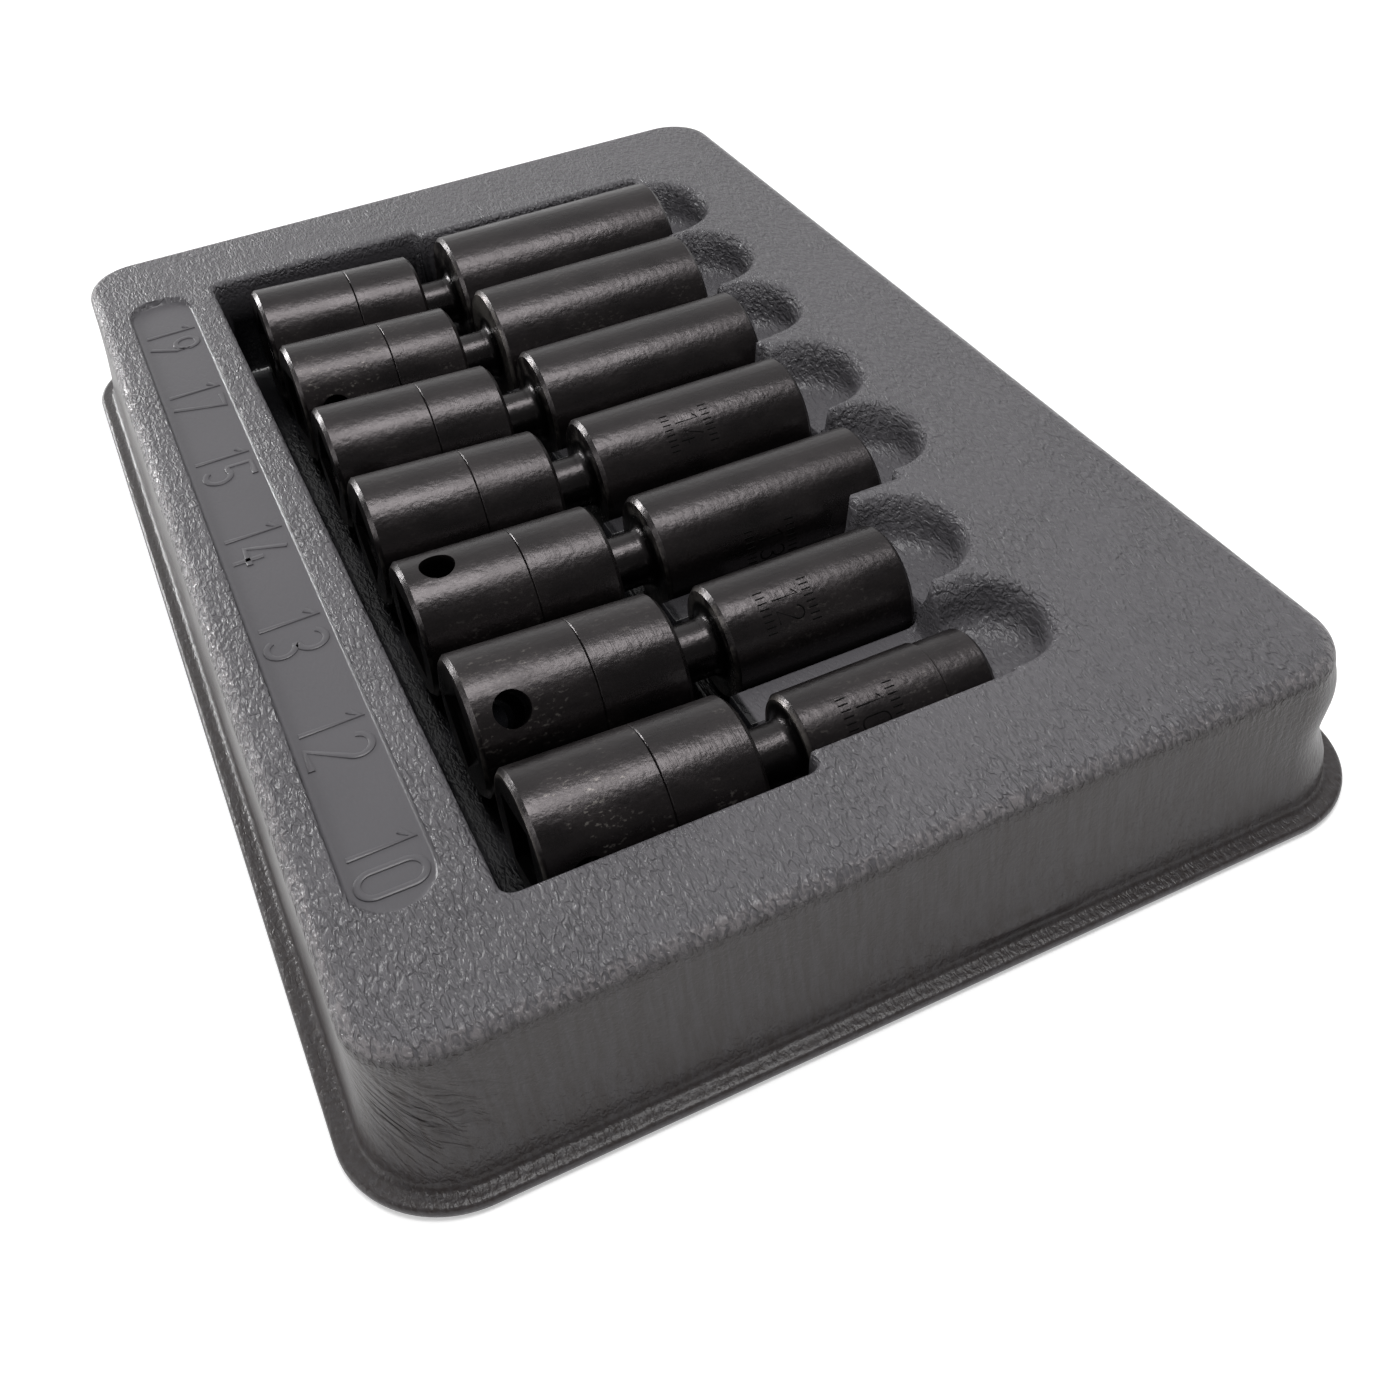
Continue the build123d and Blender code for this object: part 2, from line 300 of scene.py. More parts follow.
def gridLines(low, high, step, walls, offsets):  # close together at the walls, at most a step apart elsewhere
    lines = [low, high]
    for wall, inward in walls:
        lines += [wall + inward * offset for offset in offsets]
    lines = sorted(value for value in lines if low <= value <= high)
    kept = [lines[0]]
    for value in lines[1:]:
        if value - kept[-1] > tray["nearest"]:
            kept.append(value)
    kept[-1] = high
    full = [kept[0]]
    for value in kept[1:]:
        start = full[-1]
        gap = value - start
        parts = max(1, math.ceil(gap / step))
        full += [start + gap * (part + 1) / parts for part in range(parts)]
    return np.array(full)


def rimPoint(column, inset):  # a point of the outline, this far inside the foot
    kind, along = column
    straightX, straightY = tray["footX"] - tray["footCorner"], tray["footY"] - tray["footCorner"]
    radius = tray["footCorner"] - inset
    if kind == "turn":
        centreX = math.copysign(straightX, math.cos(along))
        centreY = math.copysign(straightY, math.sin(along))
        return centreX + radius * math.cos(along), centreY + radius * math.sin(along)
    x, y = along
    if kind == "x":
        return x, math.copysign(straightY + radius, y)
    return math.copysign(straightX + radius, x), y


def rimColumns(xs, ys):  # the border of the grid, counter-clockwise from its low corner
    steps, nx, ny = tray["cornerSteps"], len(xs), len(ys)
    straightX, straightY = tray["footX"] - tray["footCorner"], tray["footY"] - tray["footCorner"]
    border, columns = [], []
    corner = math.pi / 4
    sides = [
        ([(i, 0) for i in range(nx - 1)], xs, straightX, "x", -1, -3 * corner, 1),
        ([(nx - 1, j) for j in range(ny - 1)], ys, straightY, "y", 1, -corner, 1),
        ([(i, ny - 1) for i in range(nx - 1, 0, -1)], xs[::-1], straightX, "x", 1, corner, -1),
        ([(0, j) for j in range(ny - 1, 0, -1)], ys[::-1], straightY, "y", -1, 3 * corner, -1),
    ]
    for cells, values, half, kind, sign, start, way in sides:
        count = len(cells)
        first, last = values[steps], values[count - steps]
        for place, cell in enumerate(cells):
            border.append(cell)
            if place < steps:
                columns.append(("turn", start + corner * place / steps))
            elif place > count - steps:
                columns.append(("turn", start + 2 * corner - corner * (count - place) / steps))
            else:
                spot = ((values[place] - first) / (last - first) * 2 - 1) * half * way
                columns.append((kind, (spot, sign) if kind == "x" else (sign, spot)))
    return border, columns


def shellMesh(grow, step, offsets, profile):  # the deck as a grid, then rings down the rim's profile
    walls = [(pocket["left"], 1), (pocket["right"], -1), (strip["left"], 1), (strip["right"], -1)]
    walls += [(end + slot["tail"], -1) for end in sockets["end"]]
    walls += [(end + trough["past"], -1) for end in sockets["end"]]
    walls += [(reach - scoops["crest"], -1) for reach in scoops["reach"]]
    sides = [(pocket["front"], 1), (pocket["back"], -1), (trough["front"], 1), (trough["back"], -1)]
    sides += [(strip["half"], -1), (-strip["half"], 1)]
    for row, radius in zip(sockets["row"], sockets["radius"]):
        sides += [(row - radius - slot["gap"], 1), (row + radius + slot["gap"], -1)]
    walls = [(wall - inward * grow, inward) for wall, inward in walls]
    sides = [(side - inward * grow, inward) for side, inward in sides]
    xs = gridLines(tray["left"], tray["right"], step, walls, offsets)
    ys = gridLines(tray["front"], tray["back"], step, sides, offsets)
    gridX, gridY = np.meshgrid(xs, ys, indexing="ij")
    deck = np.stack([gridX, gridY, deckHeight(gridX, gridY, grow)], axis=-1).reshape(-1, 3)
    number = np.arange(len(deck)).reshape(gridX.shape)
    corners = [number[:-1, :-1], number[1:, :-1], number[1:, 1:], number[:-1, 1:]]
    quads = [np.stack(corners, axis=-1).reshape(-1, 4)]
    border, columns = rimColumns(xs, ys)
    start = np.array([number[cell] for cell in border])
    loops = []
    first = np.array([rimPoint(column, profile[0][0]) for column in columns])
    for flat in range(1, tray["flatSteps"] + 1):
        share = flat / tray["flatSteps"]
        loop = deck[start, :2] * (1 - share) + first * share
        loops.append(np.column_stack([loop, np.full(len(loop), profile[0][1])]))
    for inset, z in profile[1:]:
        loop = np.array([rimPoint(column, inset) for column in columns])
        loops.append(np.column_stack([loop, np.full(len(loop), z)]))
    rings = [start] + [len(deck) + len(start) * place + np.arange(len(start)) for place in range(len(loops))]
    for inner, outer in zip(rings[:-1], rings[1:]):
        quads.append(np.stack([inner, outer, np.roll(outer, -1), np.roll(inner, -1)], axis=-1))
    return np.vstack([deck] + loops), np.vstack(quads)


def rimProfile(turn, shift, arcSteps, wallSteps, lowest, thick):  # over the edge and down the wall
    draft = math.radians(tray["draft"])
    centreZ = tray["height"] - tray["topRound"]
    centreInset = centreZ * math.tan(draft) + tray["topRound"] / math.cos(draft) + shift
    profile = []
    for step in range(arcSteps + 1):
        angle = math.radians(90 - (90 - tray["draft"]) * step / arcSteps)
        profile.append((centreInset - turn * math.cos(angle), centreZ + turn * math.sin(angle)))
    highest = profile[-1][1]
    for step in range(1, wallSteps + 1):
        z = highest + (lowest - highest) * step / wallSteps
        profile.append((z * math.tan(draft) + thick, z))
    return profile


def hump(value, middle, width):
    return np.exp(-((value - middle) / width) ** 2)


def fade(value):
    return np.clip(value, 0, 1)


waves = {
    "hollow": 0.35, "ripple": 0.12, "swell": 0.10, "web": 0.32, "webX": -62.0, "dent": 0.5, "dentX": 70.0,
    "dentY": -106.0, "brow": 0.9, "browX": 15.5, "browZ": 4.6, "browBend": 0.0225,
}


def wallWaves(points):  # small unevenness that forming leaves in the walls
    x, y, z = points[:, 0], points[:, 1], points[:, 2]
    onWall = fade((z - 2.5) / 4) * fade((25.0 - z) / 4)
    outX = fade((np.abs(x) - 60) / 10) * np.sign(x)
    outY = fade((np.abs(y) - 100) / 9) * np.sign(y)
    hollow = -waves["hollow"] * np.sin(fade((z - 2) / 22) * math.pi)
    ripple = waves["ripple"] * np.sin(x * 0.11 + 1.0) * np.cos(y * 0.07)
    swell = waves["swell"] * np.sin(y * 0.19 + z * 0.12)
    gathered = hump(x, waves["webX"], 7.0) * fade(-y / 40 - 1.5)
    web = waves["web"] * gathered * np.sin(x * 1.5 + z * 0.55) * hump(z, 14, 6.5)
    dent = waves["dent"] * hump(x, waves["dentX"], 8) * hump(y, waves["dentY"], 9) * np.sin(z * 0.42)
    amount = onWall * (hollow + ripple + swell + web + dent)
    points[:, 0] += amount * outX
    points[:, 1] += amount * outY
    # a raised brow low on the front wall
    line = waves["browZ"] - waves["browBend"] * (x - waves["browX"]) ** 2
    brow = hump(x, waves["browX"], 7.0) * (y < -100) * hump(z, line, 0.9)
    points[:, 1] -= waves["brow"] * brow * onWall**0.2
    return points


def addMesh(name, points, faces, material):
    mesh = bpy.data.meshes.new(name)
    mesh.from_pydata((points * mm).tolist(), [], faces.tolist())
    mesh.polygons.foreach_set("use_smooth", [True] * len(mesh.polygons))
    mesh.materials.append(material)
    made = bpy.data.objects.new(name, mesh)
    bpy.context.collection.objects.link(made)
    return made


def addAttributes(piece, layers):
    for name, values in layers.items():
        layer = piece.data.attributes.new(name, "FLOAT", "POINT")
        layer.data.foreach_set("value", np.asarray(values, dtype=np.float32))


masks = {
    "grainFrom": 23.2, "grainWalls": 0.12, "grainScoops": 0.5, "grainStrip": 0.05, "wallFrom": 25.3,
    # the three depths below which dirt and painted shade darken the hollows
    "edgeLow": 24.2, "pocketDirtShade": 23.0, "floorDirtShade": 13.5, "ridgeDirtShade": 17.0,
    "foldMiddle": 42.5, "foldZ": 13.5, "underGrain": 0.1, "underWall": 0.2,
}


def traySkin(x, y, z):  # where the plastic has grain, streaks and folds, dirt with painted shade in the deep hollows, walls with a darker painted-shade tone, and a painted highlight along the top edge
    grain = masks["grainWalls"] + (1 - masks["grainWalls"]) * fade((z - masks["grainFrom"]) / 1.2)
    byScoops = (x > 26) & (boxField(x, y, -60.0, 60.0, -98.0, 98.0) < 0)
    grain = np.where(byScoops, np.maximum(grain, masks["grainScoops"]), grain)
    grain = np.where(stripField(x, y) < 0.1, masks["grainStrip"], grain)
    outer = 1 - fade(-boxField(x, y, -66.5, 66.5, -106.0, 106.0, 4.0) / 1.5)
    wall = outer * fade((masks["wallFrom"] - z) / 1.2) * fade(z - 0.4)
    inside = fade(-boxField(x, y, -52.0, 60.0, -94.0, 90.5, 1.0))
    inPocket = x < pocket["right"] + 1.0
    # dirt and painted shade: darker where the plastic lies deep in the pockets, troughs and ridges
    dirtAndShade = inside * fade((masks["floorDirtShade"] - z) / 4.0)
    dirtAndShade += inside * inPocket * fade((masks["pocketDirtShade"] - z) / 5.0)
    onRidges = 0.75 * inside * (y > -60) * (x < 8)
    dirtAndShade = np.maximum(dirtAndShade, onRidges * fade((masks["ridgeDirtShade"] - z) / 2.0))
    # where the painted highlight lies on the rounding of the top edge
    edge = outer * fade((tray["height"] - 0.03 - z) / 0.2) * fade((z - masks["edgeLow"]) / 0.6)
    folded = hump(x - y, masks["foldMiddle"], 8.0) * hump(z, masks["foldZ"], 6.0)
    pucker = folded * (x < 0) * (y < 0) * outer
    return {"grain": grain, "wall": wall, "dirtAndShade": fade(dirtAndShade), "edge": edge, "pucker": pucker}


def makeTray(plastic):
    skin = tray["skin"]
    over = rimProfile(tray["topRound"], shift=0.0, arcSteps=9, wallSteps=16, lowest=3.0, thick=0.0)
    over += tray["foot"]
    points, faces = shellMesh(0.0, tray["step"], tray["offsets"], over)
    layers = traySkin(*points.T.copy())
    shell = addMesh("trayShell", wallWaves(points), faces, plastic)
    addAttributes(shell, layers)
    under = rimProfile(tray["topRound"] - skin, shift=0.02, arcSteps=5, wallSteps=8, lowest=1.4, thick=skin)
    under.append(tray["foot"][-1])
    below, belowFaces = shellMesh(skin, tray["underStep"], tray["underOffsets"], under)
    underside = addMesh("trayUnderside", below, belowFaces[:, ::-1], plastic)
    plain = {name: np.zeros(len(below)) for name in layers}
    plain["grain"] += masks["underGrain"]
    plain["wall"] += masks["underWall"]
    addAttributes(underside, plain)
    bays = [f"tray_bay_{size}" for size in sockets["size"] if f"tray_bay_{size}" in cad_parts]
    for piece in (shell, underside):
        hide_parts("tray", *bays)
        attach(piece, "tray")
    print("tray:", len(faces), "and", len(belowFaces), "faces")


def digitStrokes(digit, top, side):  # plain strokes of a digit, centred, top high and side wide each way
    def arc(cy, start, sweep, steps=18):
        turns = [math.radians(start + sweep * step / steps) for step in range(steps + 1)]
        return [(side * math.cos(turn), cy + side * math.sin(turn)) for turn in turns]

    upper, lower = top - side, side - top
    if digit == "0":
        loop = arc(upper, 0, 180) + arc(lower, 180, 180)
        return [loop + [loop[0]]]
    if digit == "1":
        return [[(-side * 0.75, top * 0.66), (0.1, top), (0.1, -top)]]
    if digit == "2":
        return [arc(upper, 170, -200) + [(-side, -top), (side, -top)]]
    if digit == "3":
        return [arc(upper, 150, -240) + arc(lower, 90, -240)]
    if digit == "4":
        slant = [(side * 0.1, top), (-side, -top * 0.45), (side * 1.2, -top * 0.45)]
        return [slant, [(side * 0.5, top * 0.1), (side * 0.5, -top)]]
    if digit == "5":
        return [[(side, top), (-side, top), (-side, 0.5)] + arc(lower + side * 0.35, 120, -260)]
    if digit == "7":
        return [[(-side, top), (side, top), (-side * 0.3, -top)]]
    return [arc(upper, 0, 360) + [(side * 0.95, 0.0), (-side * 0.2, -top)]]


def newCurve(name, dimensions="3D"):
    curve = bpy.data.curves.new(name, "CURVE")
    curve.dimensions = dimensions
    holder = bpy.data.objects.new(name, curve)
    bpy.context.collection.objects.link(holder)
    return curve, holder


def addStroke(curve, places):
    line = curve.splines.new("POLY")
    line.points.add(len(places) - 1)
    for point, (x, y, z) in zip(line.points, places):
        point.co = (x * mm, y * mm, z * mm, 1)
    return line


def plainMesh(source, name):  # an object with the mesh that the source works out to, without its modifiers
    bpy.context.view_layer.update()
    depsgraph = bpy.context.evaluated_depsgraph_get()
    piece = bpy.data.objects.new(name, bpy.data.meshes.new_from_object(source.evaluated_get(depsgraph)))
    bpy.context.collection.objects.link(piece)
    source.modifiers.clear()
    bpy.data.objects.remove(source)
    return piece


numeral = {"height": 9.0, "width": 0.48, "step": 5.6, "lift": 0.17, "weight": 1.05, "round": 0.07}


def makeNumerals(plastic):
    half, lift, soft = numeral["weight"] / 2, numeral["lift"], numeral["round"]
    section, sectionHolder = newCurve("numeralSection", "2D")
    edge = [(half, -lift), (half, lift - soft), (half - soft, lift)]
    edge += [(-across, up) for across, up in reversed(edge)]
    addStroke(section, [(across, up, 0) for across, up in edge]).use_cyclic_u = True
    curve, holder = newCurve("numeralStrokes")
    curve.bevel_mode = "OBJECT"
    curve.bevel_object = sectionHolder
    curve.use_fill_caps = True
    curve.twist_mode = "Z_UP"
    middle = (strip["left"] + strip["right"]) / 2
    base = tray["height"] - strip["depth"]
    tall = numeral["height"]
    for size, row in zip(sockets["size"], sockets["row"]):
        for place, digit in enumerate(str(size)):
            across = row + (0.5 - place) * numeral["step"]
            for stroke in digitStrokes(digit, tall / 2, tall * numeral["width"] / 2):
                addStroke(curve, [(middle + v, across - u, base) for u, v in stroke])
    piece = plainMesh(holder, "sizeNumerals")
    bpy.data.objects.remove(sectionHolder)
    piece.data.materials.clear()
    piece.data.materials.append(plastic)
    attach(piece, "tray")
    print("numerals:", len(piece.data.polygons), "faces")


def fromAxis(g, here, slope):  # distance from the axis of whichever socket is nearest
    x, y, z = g.axes(here)
    steps = ((y - sockets["first"] * mm) / (sockets["pitch"] * mm) + 0.5).math("FLOOR")
    across = y - sockets["first"] * mm - steps * (sockets["pitch"] * mm)
    height = z - sockets["axis"] * mm + (x - sockets["pin"] * mm) * slope
    return x, (across * across + height * height) ** 0.5, steps


steelLook = {
    "black": colour(0.0022, 0.0018, 0.0019), "grey": colour(0.0085, 0.0068, 0.0068),
    # inside: a darker tone for the bores, painted shade
    "bare": colour(0.21, 0.195, 0.18), "inside": colour(0.0012, 0.0011, 0.0011),
    "sheen": colour(1.0, 0.92, 0.94), "leastRough": 0.14,
    "grainScale": 2600.0, "peelScale": 900.0, "cloudScale": 90.0, "smearScale": 520.0, "ringScale": 3800.0,
    "patchScale": 330.0, "fleckScale": 1700.0, "depth": 0.000045, "rough": 0.31, "gloss": 0.46,
    "use": 0.2, "mostUsed": {0: 0.7, 1: 0.35, 5: 0.6},  # how worn all drives are, and more on these rows
}


def phosphateSteel(name, edge, radius, slope, turned, wearBoost):
    look = steelLook
    g = newSurface(name)
    here = g.place()
    x, distance, steps = fromAxis(g, here, slope)
    grain = g.noise(here, look["grainScale"], 3.0, 0.6)
    peel = g.noise(here, look["peelScale"], 2.0, 0.5)
    cloud = g.noise(here, look["cloudScale"], 3.0, 0.55)
    smear = g.noise(g.stretched(here, (0.35, 1.0, 1.0)), look["smearScale"], 4.0, 0.65)
    rings = g.noise(g.stretched(here, (1.0, 0.02, 0.02)), look["ringScale"], 2.0, 0.7)
    patchy = g.noise(here, look["patchScale"], 3.0, 0.65)
    flecks = g.noise(g.stretched(here, (0.6, 1.0, 1.0)), look["fleckScale"], 3.0, 0.6)
    outside = distance.ramp((radius - 1.6) * mm, (radius - 0.8) * mm)
    used = look["use"]
    for row, amount in look["mostUsed"].items():
        used = used + (1.0 - (steps - float(row)).absolute().least(1.0)) * amount
    scuffed = flecks.ramp(0.57, 0.70) * cloud.ramp(0.48, 0.60) * outside * used * wearBoost
    bare = scuffed * 0.6
    if edge is not None:  # the outer edge at this place along the axis is rubbed bright in patches
        rim = 1.0 - (x - edge * mm).absolute().ramp(0.12 * mm, 0.7 * mm)
        bare = bare + rim * outside * (patchy + used * 0.25).ramp(0.5, 0.85) * 0.6
    bare = bare.least(1.0)
    base = g.blend((cloud * 0.5 + smear * 0.3 + grain * 0.2).ramp(0.35, 0.68), look["black"], look["grey"])
    # the bores take a darker tone: painted shade inside them
    tone = g.blend(outside, look["inside"], g.blend(bare, base, look["bare"]))
    uneven = (grain - 0.5) * 0.14 + (cloud - 0.5) * 0.22 + (smear - 0.5) * 0.12
    rough = (look["rough"] + uneven).most(look["leastRough"])
    texture = g.bump(grain * 0.30 + peel * 1.3 + smear * 0.9 + rings * turned, look["depth"])
    return g.finish(
        Base_Color=tone, Metallic=bare * 0.8, Roughness=rough, Normal=texture,
        Specular_IOR_Level=look["gloss"], Specular_Tint=look["sheen"],
    )


pinLook = {
    "dark": colour(0.03, 0.027, 0.026), "light": colour(0.09, 0.08, 0.075),
    "cloudScale": 300.0, "metal": 0.7, "rough": 0.3,
}


def pinSteel():
    g = newSurface("pin steel")
    cloud = g.noise(g.place(), pinLook["cloudScale"])
    tone = g.blend(cloud.ramp(0.3, 0.7), pinLook["dark"], pinLook["light"])
    return g.finish(Base_Color=tone, Metallic=pinLook["metal"], Roughness=pinLook["rough"] + cloud * 0.2)


def dressSockets():
    tilt = math.tan(math.radians(sockets["driveTilt"]))
    byKind = {
        "drive_end": phosphateSteel("drive steel", sockets["driveFace"], 11.0, tilt, 0.15, 1.0),
        "joint_sleeve": phosphateSteel("sleeve steel", None, 11.0, tilt, 0.5, 0.5),
        "socket_end": phosphateSteel("socket steel", sockets["mouth"], 8.0, 0.0, 0.25, 0.35),
        "cross_pin": pinSteel(),
    }
    for name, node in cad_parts.items():
        kind = name.rsplit("_", 1)[0]
        if kind in byKind:
            for place in node.material_slots:
                place.material = byKind[kind]
    print("sockets dressed")


stamp = {  # two rows of ticks with the size between them, round each socket end
    "left": 4.9, "apart": 7.3, "ticks": 8, "tickPitch": 0.95, "tickLength": 1.5, "tickThick": 0.16,
    "digitHeight": 4.2, "digitWidth": 0.48, "digitStep": 2.9, "strokeThick": 0.17, "sunk": 0.09,
    "startTurn": {10: 14.0, 12: 16.0, 13: 62.0, 14: 20.0, 15: 140.0, 17: 205.0, 19: 95.0},
    "shift": {10: 0.2, 12: 0.0, 13: 8.0, 14: 7.0, 15: 9.0, 17: 9.0, 19: 10.0},
    "dark": colour(0.0008, 0.0007, 0.0007), "light": colour(0.0040, 0.0034, 0.0034),
    "grainScale": 2200.0, "grainDepth": 0.00003, "rough": 0.55, "gloss": 0.08,
}


def stampSteel():
    g = newSurface("stamped steel")
    grain = g.noise(g.place(), stamp["grainScale"], 3.0, 0.6)
    return g.finish(
        Base_Color=g.blend(grain.ramp(0.35, 0.75), stamp["dark"], stamp["light"]),
        Roughness=stamp["rough"] + grain * 0.2,
        Normal=g.bump(grain, stamp["grainDepth"]),
        Specular_IOR_Level=stamp["gloss"],
    )


def tickTree():  # geometry nodes for two rows of short ticks round a cylinder along X
    tree = bpy.data.node_groups.new("tickRows", "GeometryNodeTree")
    g = Graph(tree)
    tree.interface.new_socket("Geometry", in_out="OUTPUT", socket_type="NodeSocketGeometry")
    kinds = {"Count": "Int", "Finish": "Material"}
    names = ["Count", "Radius", "Start", "Turn", "Left", "Apart", "Row", "Axis", "Length", "Thick", "Finish"]
    for name in names:
        tree.interface.new_socket(name, in_out="INPUT", socket_type="NodeSocket" + kinds.get(name, "Float"))
    source = g.node("NodeGroupInput", output=None)
    given = {socket.name: Value(g, socket) for socket in source.outputs if socket.name}
    index = g.node("GeometryNodeInputIndex")
    second = index.math("GREATER_THAN", given["Count"] - 0.5)
    turn = given["Start"] + (index - second * given["Count"]) * given["Turn"]
    x = given["Left"] + second * given["Apart"]
    y = given["Row"] - turn.math("SINE") * given["Radius"]
    z = given["Axis"] + turn.math("COSINE") * given["Radius"]
    line = g.node("GeometryNodeMeshLine", None, {"Count": given["Count"] * 2.0, "Offset": (0.0, 0.0, 0.0)})
    spread = g.node("GeometryNodeSetPosition", None, {"Geometry": line, "Position": g.joined(x, y, z)})
    shape = {"Vertices": 8, "Side Segments": 3, "Radius": given["Thick"], "Depth": given["Length"]}
    tick = g.node("GeometryNodeMeshCylinder", None, shape)
    laid = g.node("GeometryNodeTransform", None, {"Geometry": tick, "Rotation": (0.0, math.pi / 2, 0.0)})
    copies = g.node("GeometryNodeInstanceOnPoints", None, {"Points": spread, "Instance": laid})
    real = g.node("GeometryNodeRealizeInstances", None, {"Geometry": copies})
    dressed = g.node("GeometryNodeSetMaterial", None, {"Geometry": real, "Material": given["Finish"]})
    g.node("NodeGroupOutput", None, {"Geometry": dressed}, None)
    return tree


def makeTicks(tree, size, radius, row, first, left, steel):
    carrier = bpy.data.objects.new("tickCarrier", bpy.data.meshes.new("tickCarrier"))
    bpy.context.collection.objects.link(carrier)
    rows = carrier.modifiers.new("rows", "NODES")
    rows.node_group = tree
    identifiers = {item.name: item.identifier for item in tree.interface.items_tree if item.in_out == "INPUT"}
    lengths = {
        "Radius": radius - stamp["sunk"], "Left": left, "Apart": stamp["apart"], "Row": row,
        "Axis": sockets["axis"], "Length": stamp["tickLength"], "Thick": stamp["tickThick"],
    }
    values = {name: length * mm for name, length in lengths.items()}
    values.update(Count=stamp["ticks"], Start=first, Turn=stamp["tickPitch"] / radius, Finish=steel)
    for name, value in values.items():
        rows[identifiers[name]] = value
    return plainMesh(carrier, f"tickMarks_{size}")


def makeSizeStamp(size, radius, row, first, left, steel):
    curve, holder = newCurve(f"stampStrokes_{size}")
    curve.bevel_depth = stamp["strokeThick"] * mm
    curve.bevel_resolution = 1
    curve.use_fill_caps = True
    middle = left + stamp["apart"] / 2
    halfRow = stamp["tickPitch"] * (stamp["ticks"] - 1) / 2
    reach = radius - stamp["sunk"]
    tall = stamp["digitHeight"]

    def wrapped(u, v):  # a place of the flat digit, laid round the socket
        turn = first + u / radius
        return middle + v, row - reach * math.sin(turn), sockets["axis"] + reach * math.cos(turn)

    for spot, digit in enumerate(str(size)):
        start = halfRow + (spot - 0.5) * stamp["digitStep"]
        for stroke in digitStrokes(digit, tall / 2, tall * stamp["digitWidth"] / 2):
            addStroke(curve, [wrapped(start + u, v) for u, v in stroke])
    piece = plainMesh(holder, f"sizeStamp_{size}")
    piece.data.materials.clear()
    piece.data.materials.append(steel)
    return piece


def makeStamps():
    steel = stampSteel()
    tree = tickTree()
    for size, radius, row in zip(sockets["size"], sockets["radius"], sockets["row"]):
        first = math.radians(stamp["startTurn"][size])
        spot = (size, radius, row, first, stamp["left"] + stamp["shift"][size], steel)
        for piece in (makeTicks(tree, *spot), makeSizeStamp(*spot)):
            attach(piece, f"socket_{size}")
    print("stamps:", len(sockets["size"]), "sockets")


studio = {
    "floorSize": 6.0, "floorDrop": 0.0002, "floorNear": colour(0.42, 0.42, 0.42),
    "floorFar": colour(0.95, 0.95, 0.95), "nearEnd": 0.30, "farStart": 0.70,
    "behind": (0.25, 0.76, 0.60), "glowFrom": 0.35, "glowTo": 0.95, "glow": 0.62, "rest": 0.15,
    "band": 1.0, "bandLow": 0.16, "bandHigh": 0.34,
}


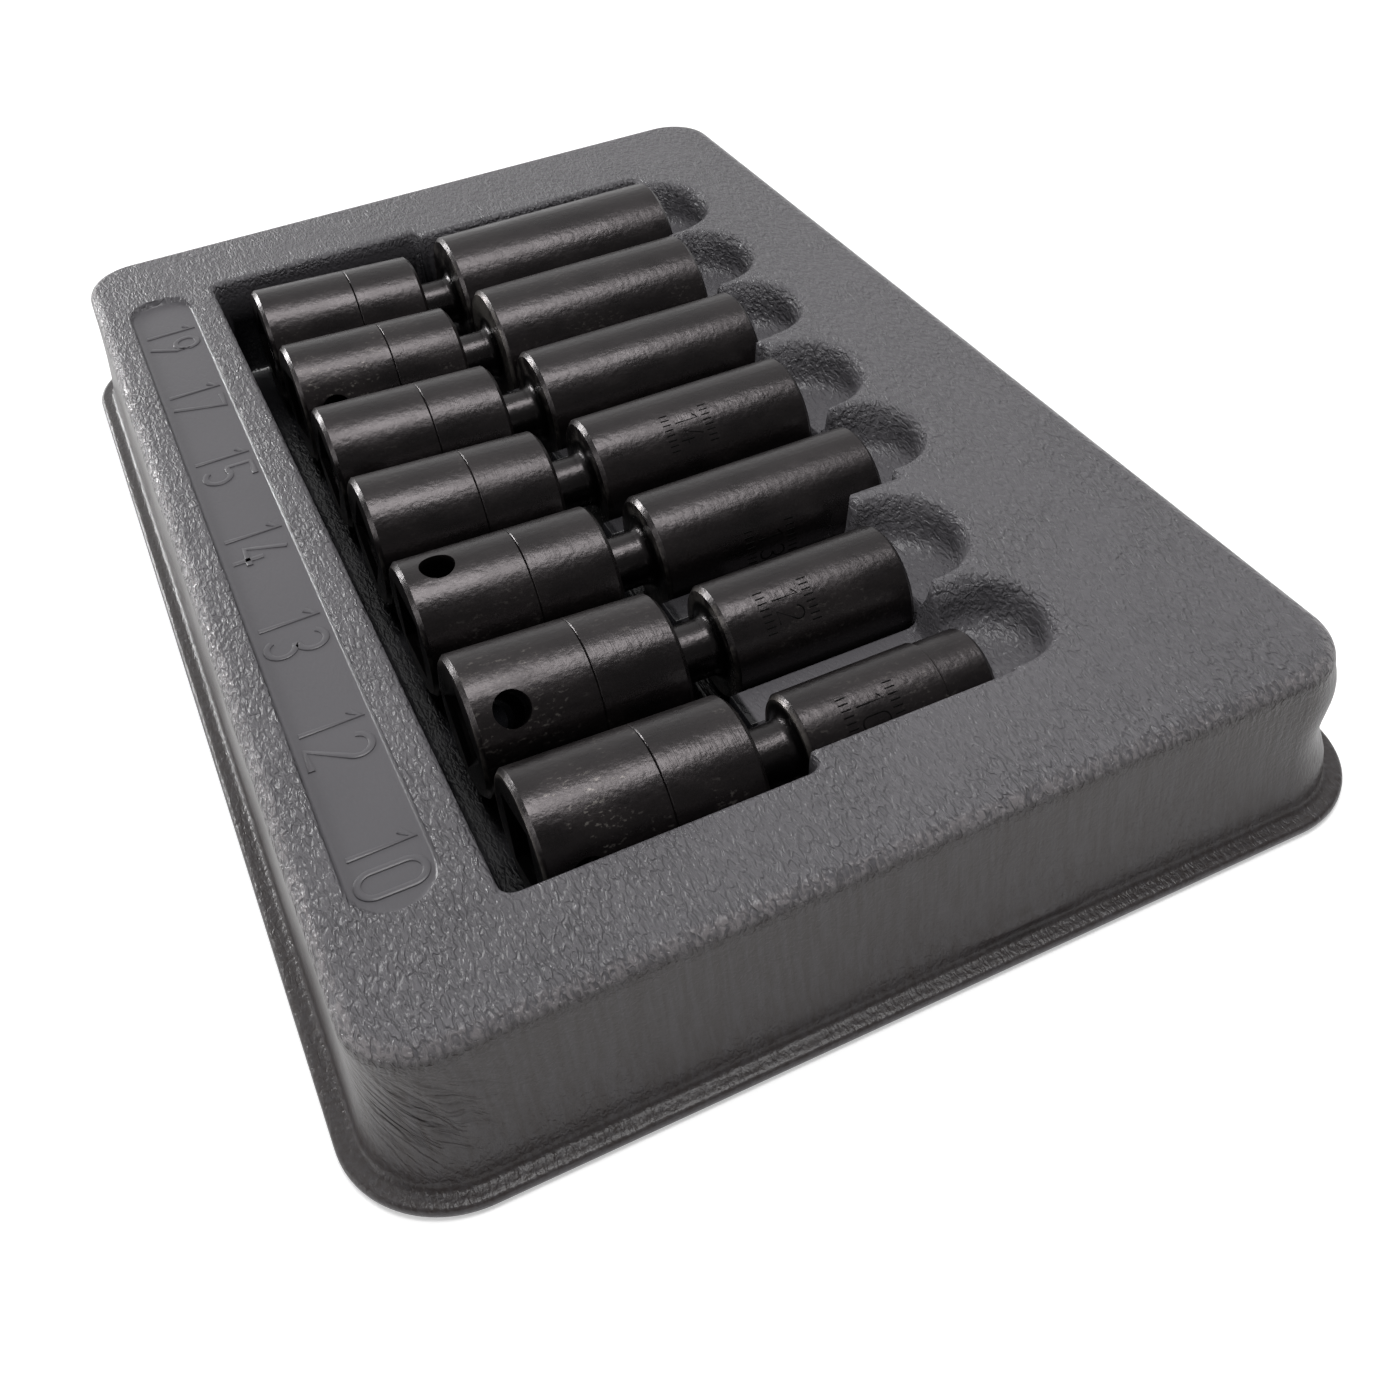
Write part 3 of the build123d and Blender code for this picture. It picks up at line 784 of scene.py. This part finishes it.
def makeStage():  # a white floor that keeps the shadow, and a world that glows softly from behind
    bpy.ops.mesh.primitive_plane_add(size=studio["floorSize"], location=(0, 0, -studio["floorDrop"]))
    floor = bpy.context.object
    floor.name = "floor"
    g = newSurface("floor white")
    rays = g.node("ShaderNodeLightPath", output=None)
    camera, glossy, through = (
        Value(g, rays.outputs[name]) for name in ("Is Camera Ray", "Is Glossy Ray", "Is Transmission Ray")
    )
    matte = g.node("ShaderNodeBsdfDiffuse", None, {"Color": colour(0.8, 0.8, 0.8)})
    away = g.node("ShaderNodeVectorMath", {"operation": "LENGTH"}, {0: g.place()}, "Value")
    white = g.blend(away.ramp(studio["nearEnd"], studio["farStart"]), studio["floorNear"], studio["floorFar"])
    glow = g.node("ShaderNodeEmission", None, {"Color": white, "Strength": 1.0})
    both = g.node("ShaderNodeAddShader", None, {0: matte, 1: glow})
    chosen = g.node("ShaderNodeMixShader", None, {0: camera.most(glossy).most(through), 1: matte, 2: both})
    g.node("ShaderNodeOutputMaterial", None, {"Surface": chosen}, None)
    floor.data.materials.append(g.owner)

    world = bpy.data.worlds.new("studio")
    bpy.context.scene.world = world
    world.use_nodes = True
    g = Graph(world.node_tree)
    x, y, z = g.axes(g.node("ShaderNodeTexCoord", output="Generated"))
    behind = x * studio["behind"][0] + y * studio["behind"][1] + z * studio["behind"][2]
    strength = behind.ramp(studio["glowFrom"], studio["glowTo"]) * studio["glow"] + studio["rest"]
    horizon = 1.0 - z.absolute().ramp(studio["bandLow"], studio["bandHigh"])
    inputs = {"Color": colour(1, 1, 1), "Strength": strength.most(horizon * studio["band"])}
    g.node("ShaderNodeOutputWorld", None, {"Surface": g.node("ShaderNodeBackground", None, inputs)}, None)


lamps = {  # place, target, width, depth and power of each soft lamp
    "left strip": ((-0.85, 0.05, 0.28), (0, 0, 0.01), 0.10, 0.7, 1.4),
    "back left": ((-0.60, 0.90, 0.27), (-0.05, 0, 0.02), 0.30, 0.14, 5.0),
    "overhead": ((0.07, -0.02, 0.80), (0, 0, 0), 0.28, 0.42, 4.1),
}


def addLamps():
    for name, (place, target, width, depth, power) in lamps.items():
        light = bpy.data.lights.new(name, "AREA")
        light.shape, light.size, light.size_y, light.energy = "RECTANGLE", width, depth, power
        lamp = bpy.data.objects.new(name, light)
        bpy.context.collection.objects.link(lamp)
        lamp.location = place
        lamp.rotation_euler = (Vector(target) - Vector(place)).to_track_quat("-Z", "Y").to_euler()


view = {
    "place": (-0.06415, -0.20793, 0.16236), "azimuth": -21.18, "elevation": 43.46, "roll": -5.77,
    "focalPixels": 1445.4, "framePixels": 1400.0, "sensor": 36.0, "nearest": 0.01,
}


def makeCamera():
    data = bpy.data.cameras.new("camera")
    data.sensor_width = view["sensor"]
    data.lens = view["sensor"] * view["focalPixels"] / view["framePixels"]
    data.clip_start = view["nearest"]
    made = bpy.data.objects.new("camera", data)
    bpy.context.collection.objects.link(made)
    a, e, r = (math.radians(view[key]) for key in ("azimuth", "elevation", "roll"))
    away = Vector((math.sin(a) * math.cos(e), -math.cos(a) * math.cos(e), math.sin(e)))
    right = (-away).cross(Vector((0, 0, 1))).normalized()
    up = away.cross(right).normalized()
    turnedRight = right * math.cos(r) + up * math.sin(r)
    turnedUp = up * math.cos(r) - right * math.sin(r)
    facing = Matrix((turnedRight, turnedUp, away)).transposed().to_4x4()
    made.matrix_world = Matrix.Translation(Vector(view["place"])) @ facing
    bpy.context.scene.camera = made


plastic = trayPlastic()
makeTray(plastic)
makeNumerals(plastic)
dressSockets()
makeStamps()
makeStage()
addLamps()
makeCamera()
scene = bpy.context.scene
scene.view_settings.view_transform = "Standard"
